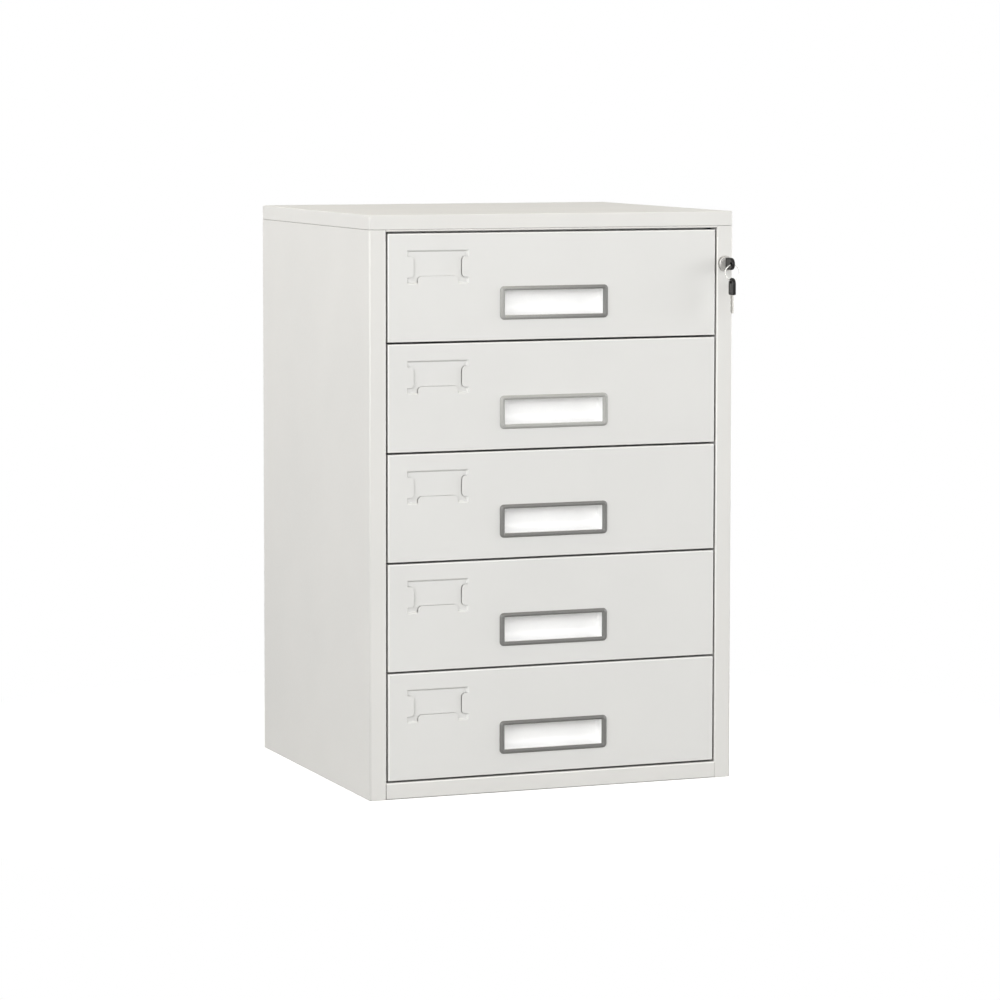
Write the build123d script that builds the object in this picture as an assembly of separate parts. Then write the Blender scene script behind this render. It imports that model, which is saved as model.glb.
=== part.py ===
from build123d import *
import math
import os

# A free-standing steel cabinet with five drawers on telescopic slides and a lock in its right post.
# Millimetres. X points to the right, the drawers face -Y and Z points up.
# The origin is the centre of the underside.

# Overall size
WIDTH = 472.0
DEPTH = 410.0
HEIGHT = 700.0

# Sheet metal of the body
BODY_SHEET = 1.0
BODY_BEND = 1.6  # outer radius of a fold
CORNER_BEND = 2.4  # outer radius of the two front corners
SEAM_EDGE = 0.8  # relief of the edges that meet at the cap's seam
STILE = 21.0  # width of the post that each side panel folds into at the front
STILE_RETURN = 20.0
REAR_FLANGE = 18.0
TOP_FOLD = 15.0
CAP_DROP = 18.0
CAP_RETURN = 12.0
SILL = 20.0  # height of the rail under the lowest drawer
SILL_RETURN = 12.0
SILL_LIP = 6.0
BASE_FLANGE = 15.0
HEADER_HEM = 10.0
HEADER_DEPTH = 30.0
HEADER_LIP = 15.0

# Uprights that carry the slides
POST_SHEET = 1.2
POST_WIDTH = 30.0
POST_BEND = 1.2
FRONT_POST_BACK = 33.0  # from the cabinet's face to the front uprights
REAR_POST_AHEAD = 55.0  # from the rear uprights to the cabinet's rear face

# Drawers
DRAWERS = 5
GAP = 2.5  # all round each drawer front
FRONT_SHEET = 1.0
FRONT_DEPTH = 20.0
FRONT_BEND = 1.4
FRONT_RIM = 12.0  # flange at the back of the front's folded edges
TRAY_SHEET = 0.8
TRAY_BEND = 1.4
TRAY_LIFT = 8.0  # from the front's lower edge to the tray's underside
TRAY_WALL = 100.0
TRAY_HEM = 6.0
TRAY_HEM_LIP = 4.0
TRAY_REAR_ROOM = 28.0  # from a closed tray to the back panel
INNER_WALL_LAP = 4.0  # overlap of the tray's front wall on the front's rim
BACK_WALL = 92.0
BACK_FLANGE = 12.0

# Stamped label holder
LABEL_WIDTH = 78.5
LABEL_HEIGHT = 40.0
LABEL_FROM_SIDE = 24.0
LABEL_FROM_TOP = 20.0
LABEL_SUNK = 2.4
LABEL_EDGE = 0.5  # relief of the pressed edge
LABEL_DRAFT = 1.9  # lean of the pressed wall
SIDE_TAB_REACH = 8.6
SIDE_TAB_HEIGHT = 25.0
FOOT_TAB_REACH = 9.0
FOOT_TAB_WIDTH = 51.0
TAB_CORNER = 4.5

# Recessed handle
HANDLE_WIDTH = 140.0
HANDLE_HEIGHT = 40.0
HANDLE_UP = 44.5  # from the front's lower edge to the handle's centre
HANDLE_CORNER = 5.0
BEZEL_SIDE = 6.0
BEZEL_EDGE = 5.0
BEZEL_PROUD = 3.0
BEZEL_NECK = 1.5
BEZEL_OUTER_BEVEL = (2.6, 2.2)  # across the rim, and back from its ridge
BEZEL_INNER_BEVEL = (1.8, 1.0)
HOLE_CLEAR = 0.3
CUP_WALL = 1.2
CUP_DEPTH = 14.0  # from the drawer's face to the cup's floor
CUP_SCOOP = 11.0  # radius of the lower sweep
CUP_UNDERCUT = 3.0  # room for the fingertips above the opening
CUP_UPPER_RADIUS = 4.0
CUP_FLANGE = 4.0

# Telescopic slides, measured from the cabinet side towards the drawer
SLIDE_THICKNESS = 12.7
SLIDE_SHEET = 1.2
SLIDE_BEND = 1.2
SLIDE_UP = 45.0  # from the drawer front's lower edge to the slide's centre line
SLIDE_FRONT_ROOM = 3.0  # from the drawer front's rim to the rails
RAIL_HEIGHT = 45.0
RAIL_FLANGE = 9.6
RAIL_LIP = 3.1
RAIL_SHORT = 7.0  # how much shorter the rails are than the tray
MID_HEIGHT = 35.2
MID_START = 2.2
MID_FLANGE = 8.4
MID_SHORT = 10.0
INNER_HEIGHT = 26.0
INNER_FLANGE = 8.1
RUN_CLEAR = 0.3  # between a ball retainer and the member that runs on it
RETAINER_WIDTH = 4.6
HOOK_NECK = 4.0
HOOK_DROP = 4.0
HOOK_WIDTH = 8.0

# Lock
LOCK_DOWN = 64.0  # from the top of the cabinet to the lock's axis
LOCK_HEAD = 18.5  # diameter
LOCK_HEAD_BEVEL = 1.2
LOCK_PROUD = 5.0
LOCK_BODY = 16.0
LOCK_LENGTH = 19.0  # of the body behind the face
LOCK_HOLE_CLEAR = 0.2
PLUG = 11.0
PLUG_SHOULDER = 13.4
PLUG_SHOULDER_DEPTH = 1.4
PLUG_CLEAR = 0.05
CLIP_SHEET = 1.0
CLIP_NECK = 13.0
CLIP_REACH = 2.0  # beyond the barrel's body, above and below it
CLIP_CORNER = 2.0
TANG = 5.0
CAM_SHEET = 1.5
CAM_HUB = 9.5
PIN = 2.5
PIN_CLEAR = 0.3
LOCK_LIFT = 7.0  # how far the bar rises when the key turns a quarter turn
BAR_WIDTH = 16.0
BAR_SHEET = 2.0
BAR_BOTTOM = 36.0
BAR_TOP_ROOM = 26.0
STACK_CLEAR = 0.3  # between the pieces behind the barrel
GUIDE_SHEET = 1.2
GUIDE_HEIGHT = 10.0
GUIDE_BELOW = 35.0  # from a hook's tip down to the top of the guide under it
CATCH_UP = 84.0  # from the drawer front's lower edge to the catch's underside
CATCH_HEIGHT = 12.0
CATCH_REACH = 10.0
CATCH_FOOT = 28.0
CATCH_SHEET = 1.5
HOOK_OFF_TRAY = 3.5
HOOK_TOOTH = 6.0
HOOK_ARM = 6.0
HOOK_UNLOCKED = 1.5  # clearance under the catch while the lock is open
HOOK_AHEAD = 1.0  # clearance in front of the catch

# Keys
BOW_LENGTH = 21.0
BOW_WIDTH = 15.0
BOW_SHEET = 4.0
BOW_EDGE = 0.7
BOW_CORNER = 2.0
BOW_HOLE = 4.5
BOW_HOLE_IN = 4.6  # from the bow's end to the hole's centre
BOW_GAP = 0.6  # between the lock's face and the bow
BLADE_WIDTH = 6.5
BLADE_SHEET = 1.9
BLADE_LENGTH = 22.4
BLADE_ROOT = 8.0  # length that the bow is moulded over
BLADE_SLOPE = 2.5  # at the tip, on the cut side
BLADE_EDGE = 0.5
BLADE_CUTS = (1.6, 0.8, 2.0, 1.2)  # depth of each bitting cut
FIRST_CUT = 6.0  # from the bow to the first cut
CUT_PITCH = 3.6
KEYWAY_CLEAR = 0.2
RING_DIAMETER = 18.9  # to the centre of the wire
RING_WIRE = 1.4
RING_SIDES = 8  # of the drawn wire's section
RING_CLEAR = 0.3

# Places that follow from the sizes above
FACE = -DEPTH / 2
OPENING_HALF = WIDTH / 2 - STILE
SIDE_INSIDE = WIDTH / 2 - BODY_SHEET
CAP_SEAM = HEIGHT - CAP_DROP
HEADER = CAP_SEAM - 2 * BODY_SHEET
PITCH = (HEADER - SILL - GAP) / DRAWERS
FRONT_WIDTH = 2 * (OPENING_HALF - GAP)
FRONT_HEIGHT = PITCH - GAP
FRONT_BOTTOMS = [HEADER - n * PITCH for n in range(1, DRAWERS + 1)]
BACK_INSIDE = DEPTH / 2 - 2 * BODY_SHEET
TRAY_FRONT = FACE + FRONT_DEPTH
TRAY_REAR = BACK_INSIDE - TRAY_REAR_ROOM
TRAY_HALF = OPENING_HALF - SLIDE_THICKNESS
RAIL_FRONT = TRAY_FRONT + SLIDE_FRONT_ROOM
RAIL_LENGTH = TRAY_REAR - RAIL_SHORT - RAIL_FRONT
FRONT_POST = FACE + FRONT_POST_BACK
REAR_POST = DEPTH / 2 - REAR_POST_AHEAD - POST_WIDTH
LOCK_X = WIDTH / 2 - STILE / 2
LOCK_Z = HEIGHT - LOCK_DOWN
PIN_RADIUS = LOCK_LIFT / math.sqrt(2)  # a quarter turn from 45 degrees below to 45 above
BARREL_REAR = FACE + LOCK_LENGTH
CAM_FRONT = BARREL_REAR + 2 * STACK_CLEAR
CAM_REAR = CAM_FRONT + CAM_SHEET
BAR_FRONT = CAM_REAR + 2 * STACK_CLEAR
BAR_REAR = BAR_FRONT + BAR_SHEET
HOOK_REAR = BAR_REAR + CATCH_SHEET
CATCH_FRONT = HOOK_REAR + HOOK_AHEAD
LOCK_FRONT = FACE - LOCK_PROUD
KEY_SHOULDER = LOCK_FRONT - BOW_GAP
RING_Y = KEY_SHOULDER - BOW_LENGTH + BOW_HOLE_IN
RING_TOP = LOCK_Z - BOW_HOLE / 2 + RING_CLEAR + RING_WIRE / 2
RING_BOTTOM = RING_TOP - RING_DIAMETER
SPARE_HOLE = RING_BOTTOM - BOW_HOLE / 2 + RING_CLEAR + RING_WIRE / 2
SPARE_SHOULDER = SPARE_HOLE + BOW_HOLE_IN - BOW_LENGTH


def block(x, y, z):
    """A block between two limits along each axis."""
    low, high = zip(*(sorted(pair) for pair in (x, y, z)))
    size = [b - a for a, b in zip(low, high)]
    return Pos(*[(a + b) / 2 for a, b in zip(low, high)]) * Box(*size)


def folded(points, sheet, bend):
    """The section of a folded sheet, which follows the points and lies on their left.

    `bend` is the outer radius of all the folds, or one radius for each.
    """
    bends = bend if isinstance(bend, list) else [bend] * (len(points) - 2)
    turns = list(zip(points, points[1:]))
    heading = [Vector(*b) - Vector(*a) for a, b in turns]
    left = [Vector(-h.Y, h.X).normalized() for h in heading]
    at_ends = [left[0]] + [(a + b) / (1 + a.dot(b)) for a, b in zip(left, left[1:])] + [left[-1]]
    far = [tuple(Vector(*p) + n * sheet)[:2] for p, n in zip(points, at_ends)]
    inward = [a.X * b.Y - a.Y * b.X > 0 for a, b in zip(heading, heading[1:])]
    near_radii = [b if i else max(b - sheet, 0) for b, i in zip(bends, inward)]
    far_radii = [max(b - sheet, 0) if i else b for b, i in zip(bends, inward)]
    outline = Curve() + [
        FilletPolyline(*points, radius=near_radii),
        Line(points[-1], far[-1]),
        FilletPolyline(*reversed(far), radius=far_radii[::-1]),
        Line(far[0], points[0]),
    ]
    return make_face(outline.edges())


def along_x(section, x):
    """Extrudes a section drawn in Y and Z between two limits along X."""
    return extrude(Plane.YZ.offset(min(x)) * section, amount=max(x) - min(x), dir=(1, 0, 0))


def along_y(section, y):
    """Extrudes a section drawn in X and Z between two limits along Y."""
    return extrude(Plane.XZ.offset(-min(y)) * section, amount=max(y) - min(y), dir=(0, 1, 0))


def along_z(section, z):
    """Extrudes a section drawn in X and Y between two limits along Z."""
    return extrude(Plane.XY.offset(min(z)) * section, amount=max(z) - min(z), dir=(0, 0, 1))


def rod(radius, x, z, y):
    """A cylinder along Y."""
    return along_y(Pos(x, z) * Circle(radius), y)


def mirrored(piece):
    return mirror(piece, about=Plane.YZ)


def group(pieces):
    """Separate solids that share one node."""
    return Compound(children=[solid for piece in pieces for solid in piece.solids()])


def top_panel():
    """The cap: a shallow pan turned upside down, whose edges fold under to rest on the sides."""
    sheet = BODY_SHEET
    half_width, half_depth = WIDTH / 2, DEPTH / 2
    cap = block((-half_width, half_width), (-half_depth, half_depth), (CAP_SEAM, HEIGHT))
    corners = cap.edges().filter_by(Axis.Z).group_by(Axis.Y)
    cap = fillet(corners[0], CORNER_BEND)
    cap = fillet(cap.edges().filter_by(Axis.Z).group_by(Axis.Y)[-1], BODY_BEND)
    cap = fillet(cap.faces().sort_by(Axis.Z)[-1].edges(), BODY_BEND)
    cap = chamfer(cap.faces().sort_by(Axis.Z)[0].edges(), SEAM_EDGE)
    inside = (half_width - sheet, half_depth - sheet)
    cap -= block((-inside[0], inside[0]), (-inside[1], inside[1]), (CAP_SEAM + sheet, HEIGHT - sheet))
    open_x, open_y = half_width - CAP_RETURN, half_depth - CAP_RETURN
    return cap - block((-open_x, open_x), (-open_y, open_y), (CAP_SEAM, HEIGHT - sheet))


def side_panel():
    """The right side: its sheet folds into the front post, a rear flange and a flange at the top."""
    half_width, half_depth = WIDTH / 2, DEPTH / 2
    plan = [
        (OPENING_HALF, FACE + STILE_RETURN),
        (OPENING_HALF, FACE),
        (half_width, FACE),
        (half_width, half_depth),
        (half_width - REAR_FLANGE, half_depth),
    ]
    bends = [BODY_BEND, CORNER_BEND, BODY_BEND]
    panel = along_z(folded(plan, BODY_SHEET, bends), (0, CAP_SEAM))
    panel += block(
        (half_width - TOP_FOLD, half_width - BODY_SHEET / 2),
        (FACE + CORNER_BEND, BACK_INSIDE),
        (CAP_SEAM - BODY_SHEET, CAP_SEAM),
    )
    return panel


def right_side_panel():
    """The right side has the hole for the lock in its post."""
    hole = rod(LOCK_BODY / 2 + LOCK_HOLE_CLEAR, LOCK_X, LOCK_Z, (FACE, FACE + BODY_SHEET))
    return side_panel() - hole


def back_panel():
    """A flat sheet inside the rear flanges."""
    rear = DEPTH / 2 - BODY_SHEET
    half = WIDTH / 2 - BODY_BEND
    return block((-half, half), (BACK_INSIDE, rear), (0, CAP_SEAM))


def base_panel():
    """The floor, whose front edge folds up into the rail under the lowest drawer."""
    rail = [
        (FACE + SILL_RETURN, SILL - SILL_LIP),
        (FACE + SILL_RETURN, SILL),
        (FACE, SILL),
        (FACE, 0),
        (BACK_INSIDE, 0),
        (BACK_INSIDE, BASE_FLANGE),
    ]
    base = along_x(folded(rail, BODY_SHEET, BODY_BEND), (-OPENING_HALF, OPENING_HALF))
    behind_post = FACE + STILE_RETURN
    floor = [(behind_post, 0), (BACK_INSIDE, 0), (BACK_INSIDE, BASE_FLANGE)]
    wide = along_x(folded(floor, BODY_SHEET, BODY_BEND), (-SIDE_INSIDE, SIDE_INSIDE))
    flange = block(
        (SIDE_INSIDE - BODY_SHEET, SIDE_INSIDE), (behind_post, BACK_INSIDE - BODY_BEND), (0, BASE_FLANGE)
    )
    return base + wide + flange + mirrored(flange)


def top_front_rail():
    """The rail over the highest drawer, with a hemmed front edge that shows under the cap."""
    top, hem = CAP_SEAM, HEADER
    rear = FACE + HEADER_DEPTH
    section = Polygon(
        (FACE, hem),
        (FACE + HEADER_HEM, hem),
        (FACE + HEADER_HEM, top - BODY_SHEET),
        (rear - BODY_SHEET, top - BODY_SHEET),
        (rear - BODY_SHEET, top - HEADER_LIP),
        (rear, top - HEADER_LIP),
        (rear, top),
        (FACE, top),
        align=None,
    )
    rounded = section.vertices().group_by(Axis.X)
    section = fillet(rounded[0], SEAM_EDGE)
    section = fillet(section.vertices().sort_by(lambda v: v.X + v.Y)[-1], BODY_BEND)
    return along_x(section, (-OPENING_HALF, OPENING_HALF))


def slide_heights():
    return [bottom + SLIDE_UP for bottom in FRONT_BOTTOMS]


def uprights(front):
    """A pair of channels on the side panels, slotted for the hooks of the slide rails."""
    rear = front + POST_WIDTH
    plan = [(SIDE_INSIDE, rear), (OPENING_HALF, rear), (OPENING_HALF, front), (SIDE_INSIDE, front)]
    post = along_z(folded(plan, POST_SHEET, POST_BEND), (SILL, CAP_SEAM - BODY_SHEET))
    middle = front + POST_WIDTH / 2
    half = HOOK_WIDTH / 2 + HOLE_CLEAR
    for height in slide_heights():
        low = height - HOOK_NECK / 2
        post -= block(
            (OPENING_HALF, OPENING_HALF + POST_SHEET),
            (middle - half, middle + half),
            (low, low + HOOK_NECK + HOOK_DROP + HOLE_CLEAR),
        )
    return group([mirrored(post), post])


def rail_hook(middle):
    """A lug on the back of a rail that passes a slot in the upright and drops behind it."""
    y = (middle - HOOK_WIDTH / 2, middle + HOOK_WIDTH / 2)
    inner = -OPENING_HALF - POST_SHEET - HOLE_CLEAR
    neck = block((inner, -OPENING_HALF), y, (-HOOK_NECK / 2, HOOK_NECK / 2))
    drop = block((inner - SLIDE_SHEET, inner), y, (-HOOK_NECK / 2 - HOOK_DROP, HOOK_NECK / 2))
    return neck + drop


def channel(start, end, height, lip=0.0):
    """Half the section of a slide's member, open towards `end`, with optional lips."""
    if start > end:
        points = [(end, -height / 2), (start, -height / 2), (start, height / 2), (end, height / 2)]
    else:
        points = [(end, height / 2), (start, height / 2), (start, -height / 2), (end, -height / 2)]
    bends = [SLIDE_BEND, SLIDE_BEND]
    if lip:
        points = [(end, height / 2 - lip)] + points + [(end, lip - height / 2)]
        bends = [0] + bends + [0]
    return Pos(-OPENING_HALF, 0) * folded(points, SLIDE_SHEET, bends)


def slide_rail():
    """The outer member of a left-hand slide, which hooks into the two uprights."""
    rail = along_y(channel(0, RAIL_FLANGE, RAIL_HEIGHT, RAIL_LIP), (RAIL_FRONT, RAIL_FRONT + RAIL_LENGTH))
    for post in (FRONT_POST, REAR_POST):
        rail += rail_hook(post + POST_WIDTH / 2)
    return rail


def slide_rails():
    """The left-hand rails of all the drawers."""
    rail = slide_rail()
    return group([Pos(0, 0, height) * rail for height in slide_heights()])


def retainers(x, z, y):
    """The upper and lower ball retainers between two members."""
    strip = block([value - OPENING_HALF for value in x], y, z)
    return [strip, mirror(strip, about=Plane.XY)]


def slide_mid():
    """The middle members of one drawer's slides, with the ball retainers on their flanges."""
    mid_front = RAIL_FRONT + MID_SHORT / 2
    mid_rear = RAIL_FRONT + RAIL_LENGTH - MID_SHORT / 2
    centre = (mid_front + mid_rear) / 2
    end = MID_START + MID_FLANGE
    member = along_y(channel(MID_START, end, MID_HEIGHT), (mid_front, mid_rear))
    outside = MID_HEIGHT / 2
    inside = outside - SLIDE_SHEET
    outer_run = (outside, RAIL_HEIGHT / 2 - SLIDE_SHEET - RUN_CLEAR)
    inner_run = (INNER_HEIGHT / 2 + RUN_CLEAR, inside)
    outer_start = MID_START + SLIDE_BEND / 2
    inner_start = SLIDE_THICKNESS - INNER_FLANGE + SLIDE_BEND / 2
    pieces = [member]
    pieces += retainers((outer_start, outer_start + RETAINER_WIDTH), outer_run, (centre, mid_rear))
    pieces += retainers((inner_start, inner_start + RETAINER_WIDTH), inner_run, (mid_front, centre))
    return group(pieces + [mirrored(piece) for piece in pieces])


def catch():
    """A bracket on the right-hand slide that the lock's hook rises in front of."""
    plan = [
        (TRAY_HALF, CATCH_FRONT + CATCH_FOOT),
        (TRAY_HALF, CATCH_FRONT),
        (TRAY_HALF + CATCH_REACH, CATCH_FRONT),
    ]
    up = CATCH_UP - SLIDE_UP
    return along_z(folded(plan, CATCH_SHEET, POST_BEND), (up, up + CATCH_HEIGHT))


def slide_inner():
    """The inner members of one drawer's slides, fixed to the tray's sides, with the lock's catch."""
    start, end = SLIDE_THICKNESS, SLIDE_THICKNESS - INNER_FLANGE
    member = along_y(channel(start, end, INNER_HEIGHT), (RAIL_FRONT, RAIL_FRONT + RAIL_LENGTH))
    return group([member, mirrored(member), catch()])


def label_holder(front):
    """Presses the label holder into a drawer front, with three tabs left level with its face."""
    left = -FRONT_WIDTH / 2 + LABEL_FROM_SIDE
    top = FRONT_HEIGHT - LABEL_FROM_TOP
    middle = (left + LABEL_WIDTH / 2, top - LABEL_HEIGHT / 2)
    lean = math.degrees(math.atan(LABEL_DRAFT / LABEL_SUNK))
    back = LABEL_SUNK + FRONT_SHEET

    def window(grow):
        size = (LABEL_WIDTH + 2 * grow, LABEL_HEIGHT + 2 * grow)
        return Pos(*middle) * Rectangle(*size)

    def pressed(grow, start, end):
        at = Plane.XZ.offset(-FACE - start)
        return extrude(at * window(grow), amount=end - start, dir=(0, 1, 0), taper=lean)

    def tab(size, centre):
        return Pos(*centre) * RectangleRounded(*size, TAB_CORNER)

    reach, foot = 2 * SIDE_TAB_REACH, 2 * FOOT_TAB_REACH
    tabs = Sketch() + [
        tab((reach, SIDE_TAB_HEIGHT), (left, middle[1])),
        tab((reach, SIDE_TAB_HEIGHT), (left + LABEL_WIDTH, middle[1])),
        tab((FOOT_TAB_WIDTH, foot), (middle[0], top - LABEL_HEIGHT)),
    ]
    front += pressed(FRONT_SHEET, FRONT_SHEET / 2, back)
    front -= pressed(0, 0, LABEL_SUNK)
    face = front.faces().sort_by(Axis.Y)[0]
    front = chamfer(face.inner_wires()[0].edges(), LABEL_EDGE)
    front -= along_y(tabs & window(FRONT_SHEET), (FACE + FRONT_SHEET, FACE + back))
    return front + along_y(tabs & window(LABEL_EDGE), (FACE, FACE + FRONT_SHEET))


def drawer_front():
    """A pan of sheet steel: folded edges with a rim behind, the label holder and the handle's hole."""
    half, rear = FRONT_WIDTH / 2, TRAY_FRONT
    pan = block((-half, half), (FACE, rear), (0, FRONT_HEIGHT))
    pan = fillet(pan.faces().sort_by(Axis.Y)[0].edges(), FRONT_BEND)
    sheet = FRONT_SHEET
    pan -= block((sheet - half, half - sheet), (FACE + sheet, rear - sheet), (sheet, FRONT_HEIGHT - sheet))
    rim_half = TRAY_HALF - INNER_WALL_LAP
    pan -= block((-rim_half, rim_half), (rear - sheet, rear), (FRONT_RIM, FRONT_HEIGHT - FRONT_RIM))
    room = 2 * (BEZEL_NECK + HOLE_CLEAR)
    hole = Rectangle(HANDLE_WIDTH - 2 * BEZEL_SIDE + room, HANDLE_HEIGHT - 2 * BEZEL_EDGE + room)
    return label_holder(pan) - along_y(Pos(0, HANDLE_UP) * hole, (FACE, FACE + sheet))


def tray():
    """One wrap of sheet for the bottom and sides, hemmed at the top, with the wall behind the front."""
    half, bottom, top = TRAY_HALF, TRAY_LIFT, TRAY_LIFT + TRAY_WALL
    wrap = [(half - TRAY_HEM, top - TRAY_HEM_LIP), (half - TRAY_HEM, top), (half, top), (half, bottom)]
    section = [(-x, z) for x, z in wrap] + wrap[::-1]
    bends = [0, 0, TRAY_BEND, TRAY_BEND, 0, 0]
    body = along_y(folded(section, TRAY_SHEET, bends), (TRAY_FRONT, TRAY_REAR))
    wall_top = FRONT_HEIGHT - FRONT_RIM + INNER_WALL_LAP
    return body + block((-half, half), (TRAY_FRONT, TRAY_FRONT + TRAY_SHEET), (bottom, wall_top))


def tray_back():
    """The rear wall, flanged forward against the tray's sides."""
    half = TRAY_HALF - TRAY_SHEET
    plan = [
        (half, TRAY_REAR - BACK_FLANGE),
        (half, TRAY_REAR),
        (-half, TRAY_REAR),
        (-half, TRAY_REAR - BACK_FLANGE),
    ]
    bottom = TRAY_LIFT + TRAY_BEND
    return along_z(folded(plan, TRAY_SHEET, TRAY_BEND), (bottom, bottom + BACK_WALL))


def handle_bezel():
    """The grey frame of the handle: a bevelled rim on the face and a neck through the sheet."""
    width, height = HANDLE_WIDTH - 2 * BEZEL_SIDE, HANDLE_HEIGHT - 2 * BEZEL_EDGE
    at = Pos(0, HANDLE_UP)
    outline = at * RectangleRounded(HANDLE_WIDTH, HANDLE_HEIGHT, HANDLE_CORNER)
    opening = at * Rectangle(width, height)
    neck = at * Rectangle(width + 2 * BEZEL_NECK, height + 2 * BEZEL_NECK)
    ridge = FACE - BEZEL_PROUD
    rim = along_y(outline, (ridge, FACE))
    across, back = BEZEL_OUTER_BEVEL
    ridge_face = rim.faces().sort_by(Axis.Y)[0]
    rim = chamfer(ridge_face.edges(), across, back, reference=ridge_face)
    rim += along_y(neck, (FACE, FACE + FRONT_SHEET))
    rim -= along_y(opening, (ridge, FACE + FRONT_SHEET))
    across, back = BEZEL_INNER_BEVEL
    ridge_face = rim.faces().sort_by(Axis.Y)[0]
    inner = ridge_face.inner_wires()[0].edges()
    return chamfer(inner, across, back, reference=ridge_face)


def handle_cup():
    """The white finger cup behind the opening, swept up from below and undercut at the top."""
    width = HANDLE_WIDTH - 2 * BEZEL_SIDE
    half = HANDLE_HEIGHT / 2 - BEZEL_EDGE
    mouth = FACE + FRONT_SHEET

    def hollow(grow):
        floor = FACE + CUP_DEPTH + grow
        low, high = -half - grow, half + CUP_UNDERCUT + grow
        path = FilletPolyline(
            (mouth, low), (floor, low), (floor, high), (mouth, high),
            radius=[CUP_SCOOP + grow, CUP_UPPER_RADIUS + grow],
        )
        section = make_face((Curve() + [path, Line((mouth, high), (mouth, low))]).edges())
        return along_x(Pos(0, HANDLE_UP) * section, (-width / 2 - grow, width / 2 + grow))

    edge = CUP_WALL + CUP_FLANGE
    flange = Rectangle(width + 2 * edge, 2 * (half + CUP_UNDERCUT + edge))
    opening = Pos(0, HANDLE_UP) * Rectangle(width, 2 * half)
    plate = along_y(Pos(0, HANDLE_UP) * flange, (mouth, mouth + CUP_WALL))
    shell = hollow(CUP_WALL) + plate
    inside = hollow(0) - block((-width, width), (mouth, mouth + CUP_WALL), (0, FRONT_HEIGHT))
    return shell - inside - along_y(opening, (mouth, mouth + CUP_WALL))


def lock_barrel():
    """The lock's fixed housing: a round head on the post's face and a grooved body through it."""
    head = rod(LOCK_HEAD / 2, LOCK_X, LOCK_Z, (LOCK_FRONT, FACE))
    head = chamfer(head.faces().sort_by(Axis.Y)[0].edges(), LOCK_HEAD_BEVEL)
    body = rod(LOCK_BODY / 2, LOCK_X, LOCK_Z, (FACE, BARREL_REAR))
    groove = (FACE + BODY_SHEET, FACE + BODY_SHEET + CLIP_SHEET)
    body -= rod(LOCK_BODY, LOCK_X, LOCK_Z, groove) - rod(CLIP_NECK / 2, LOCK_X, LOCK_Z, groove)
    bore = rod(PLUG / 2, LOCK_X, LOCK_Z, (LOCK_FRONT, BARREL_REAR))
    recess = (LOCK_FRONT, LOCK_FRONT + PLUG_SHOULDER_DEPTH)
    return head + body - bore - rod(PLUG_SHOULDER / 2, LOCK_X, LOCK_Z, recess)


def lock_clip():
    """A horseshoe clip in the barrel's groove, behind the post's sheet."""
    half, neck = LOCK_BODY / 2 + CLIP_REACH, CLIP_NECK / 2
    plate = Pos(LOCK_X, LOCK_Z) * RectangleRounded(LOCK_BODY, 2 * half, CLIP_CORNER)
    plate -= Pos(LOCK_X, LOCK_Z) * Circle(neck)
    plate -= Pos(LOCK_X, LOCK_Z + half) * Rectangle(2 * neck, 2 * half)
    return along_y(plate, (FACE + BODY_SHEET, FACE + BODY_SHEET + CLIP_SHEET))


def lock_plug():
    """The turning plug, with its keyway and the square tang that drives the cam."""
    plug = rod(PLUG / 2 - PLUG_CLEAR, LOCK_X, LOCK_Z, (LOCK_FRONT, BARREL_REAR + STACK_CLEAR))
    shoulder_rear = LOCK_FRONT + PLUG_SHOULDER_DEPTH - PLUG_CLEAR
    plug += rod(PLUG_SHOULDER / 2 - PLUG_CLEAR, LOCK_X, LOCK_Z, (LOCK_FRONT, shoulder_rear))
    half = TANG / 2
    plug += block(
        (LOCK_X - half, LOCK_X + half),
        (BARREL_REAR, CAM_REAR),
        (LOCK_Z - half, LOCK_Z + half),
    )
    slot_x = BLADE_SHEET / 2 + KEYWAY_CLEAR
    slot_z = BLADE_WIDTH / 2 + KEYWAY_CLEAR
    slot_end = KEY_SHOULDER + BLADE_LENGTH + KEYWAY_CLEAR
    return plug - block(
        (LOCK_X - slot_x, LOCK_X + slot_x), (LOCK_FRONT, slot_end), (LOCK_Z - slot_z, LOCK_Z + slot_z)
    )


def lock_cam():
    """The plate on the plug's tang, with the pin that drives the bar."""
    arm = PIN_RADIUS + PIN
    outline = Circle(CAM_HUB / 2) + Rot(0, 0, -45) * (
        Pos(arm / 2, 0) * Rectangle(arm, 2 * PIN) + Pos(arm - PIN, 0) * Circle(PIN)
    )
    outline -= Rectangle(TANG, TANG)
    at = Pos(LOCK_X, LOCK_Z)
    offset = LOCK_LIFT / 2
    cam = along_y(at * outline, (CAM_FRONT, CAM_REAR))
    return cam + rod(PIN / 2, LOCK_X + offset, LOCK_Z - offset, (CAM_REAR, BAR_REAR))


def lock_bar():
    """The vertical bar behind the post that the cam lifts."""
    half = BAR_WIDTH / 2
    x = (LOCK_X - half, LOCK_X + half)
    bar = block(x, (BAR_FRONT, BAR_REAR), (BAR_BOTTOM, CAP_SEAM - BAR_TOP_ROOM))
    clear = PIN / 2 + PIN_CLEAR
    low = LOCK_LIFT / 2 - clear
    high = PIN_RADIUS + clear
    slot = Pos(LOCK_X + (low + high) / 2, LOCK_Z - LOCK_LIFT / 2) * SlotOverall(high - low, 2 * clear)
    return bar - along_y(slot, (BAR_FRONT, BAR_REAR))


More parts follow.
